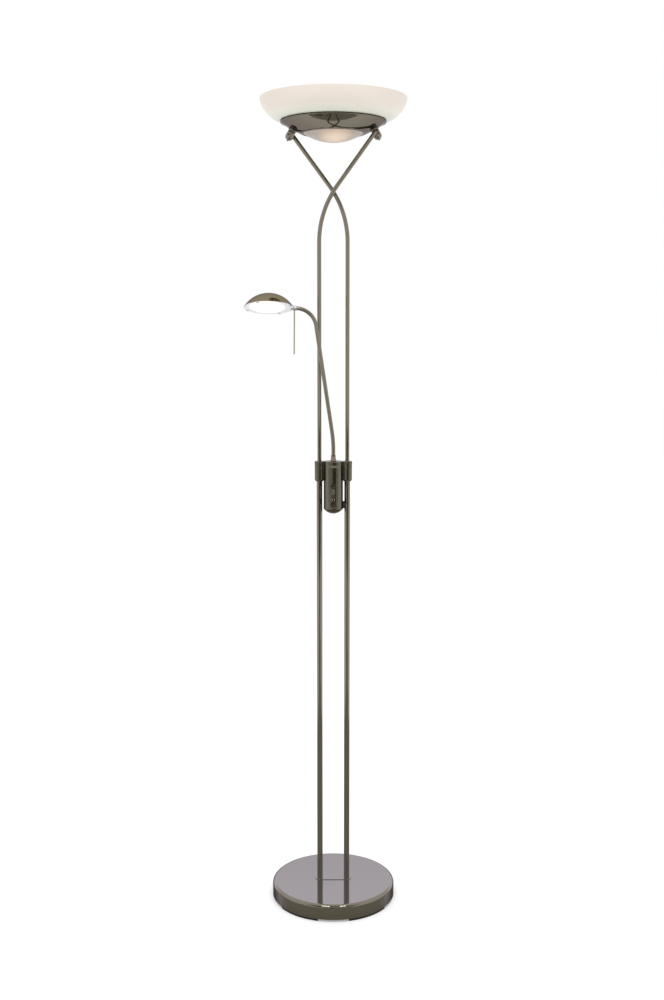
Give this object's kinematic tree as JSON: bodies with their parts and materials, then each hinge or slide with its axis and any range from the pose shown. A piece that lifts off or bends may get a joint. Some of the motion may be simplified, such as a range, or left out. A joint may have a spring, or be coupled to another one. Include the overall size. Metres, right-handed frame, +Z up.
{
  "type": "floor lamp",
  "caption": "Floor-standing uplighter: round weighted base, twin-tube stem that crosses below an opal glass bowl, and a reading light on a bendable arm, each dimmed by its own knob.",
  "frame": {"origin": "on the floor under the centre of the round base", "axes": "+Z up the stem; -Y is the front with the two knobs; the reading arm leans towards -X"},
  "size_m": [0.3527, 0.3172, 1.8],
  "materials": {
    "foot_rubber": "matt black",
    "plate_steel": "dark coating",
    "cast_weight": "rough casting",
    "black_chrome": "polished dark chrome",
    "knob_chrome": "polished dark chrome",
    "knuckle_chrome": "polished dark chrome",
    "dish_chrome": "polished dark chrome",
    "head_chrome": "polished dark chrome",
    "inlet_plastic": "matt black",
    "sleeve_rubber": "matt black",
    "zinc_steel": "zinc-plated",
    "clip_spring": "bright spring steel",
    "dimmer_plastic": "matt black",
    "gasket_rubber": "matt black",
    "lens_glass": "frosted, lit warm",
    "opal_glass": "satin opal, cream white",
    "holder_ceramic": "unglazed ceramic",
    "lamp_glass": "clear",
    "arm_sheath": "polished dark sheath",
    "ferrule_chrome": "polished dark chrome",
    "head_collar_grey": "satin",
    "diffuser_glass": "frosted, lit white",
    "rod_grey": "satin, warm grey"
  },
  "bodies": {
    "stand": {"base_shell": "black_chrome", "base_weight": "cast_weight", "bottom_lens": "lens_glass", "bottom_plate": "plate_steel", "bowl_clips": "clip_spring", "bowl_gasket": "gasket_rubber", "cable_sleeve": "sleeve_rubber", "cap_nut_left": "knuckle_chrome", "cap_nut_right": "knuckle_chrome", "clamp_lid": "black_chrome", "collar_left": "black_chrome", "collar_right": "black_chrome", "collar_screws": "zinc_steel", "cord_inlet": "inlet_plastic", "dimmer_housing": "black_chrome", "dimmer_lower": "dimmer_plastic", "dimmer_nuts": "zinc_steel", "dimmer_upper": "dimmer_plastic", "fixing_nuts": "zinc_steel", "fixing_washers": "zinc_steel", "foot_plate": "black_chrome", "foot_ring": "foot_rubber", "glass_bowl": "opal_glass", "grub_screws": "zinc_steel", "halogen_tube": "lamp_glass", "knuckle_left": "knuckle_chrome", "knuckle_right": "knuckle_chrome", "knuckle_studs": "zinc_steel", "lamp_bracket": "zinc_steel", "lamp_holders": "holder_ceramic", "lower_tube_left": "black_chrome", "lower_tube_right": "black_chrome", "metal_dish": "dish_chrome", "reducer_bushes": "black_chrome", "stud_nuts": "zinc_steel", "tube_nipples": "zinc_steel", "upper_tube_left": "black_chrome", "upper_tube_right": "black_chrome"},
    "arm_foot": {"arm_ferrule": "ferrule_chrome", "arm_nut": "zinc_steel", "arm_lower": "arm_sheath"},
    "arm_mid": {"arm_middle": "arm_sheath"},
    "arm_top": {"arm_upper": "arm_sheath", "arm_tip": "zinc_steel", "arm_tip_nut": "zinc_steel"},
    "reading_head": {"head_collar": "head_collar_grey", "head_dome": "head_chrome", "head_diffuser": "diffuser_glass", "diffuser_clips": "clip_spring", "head_bar": "zinc_steel", "capsule_holder": "holder_ceramic", "capsule_lamp": "lamp_glass", "aiming_rod": "rod_grey"},
    "dimmer_knob_upper": {"knob_upper": "knob_chrome"},
    "dimmer_knob_lower": {"knob_lower": "knob_chrome"}
  },
  "joints": [
    {"name": "arm_swivel", "type": "hinge", "parent": "stand", "child": "arm_foot", "pos_m": [0, -0.009, 1.0193], "axis": [0, 0, 1], "range_deg": [0, 164]},
    {"name": "arm_bend_low", "type": "hinge", "parent": "arm_foot", "child": "arm_mid", "pos_m": [-0.00778, -0.01009, 1.11782], "axis": [0.1392, -0.9903, 0], "range_deg": [-8, 35]},
    {"name": "arm_bend_high", "type": "hinge", "parent": "arm_mid", "child": "arm_top", "pos_m": [-0.03562, -0.01401, 1.30371], "axis": [0.1392, -0.9903, 0], "range_deg": [-30, 45]},
    {"name": "head_turn", "type": "hinge", "parent": "arm_top", "child": "reading_head", "pos_m": [-0.0802, -0.02027, 1.3558], "axis": [-0.9897, -0.1391, 0.0349], "range_deg": [-103, 77]},
    {"name": "knob_upper_turn", "type": "hinge", "parent": "stand", "child": "dimmer_knob_upper", "pos_m": [0, -0.0241, 0.9653], "axis": [0, -1, 0], "range_deg": [0, 270]},
    {"name": "knob_lower_turn", "type": "hinge", "parent": "stand", "child": "dimmer_knob_lower", "pos_m": [0, -0.0241, 0.9253], "axis": [0, -1, 0], "range_deg": [0, 270]}
  ]
}
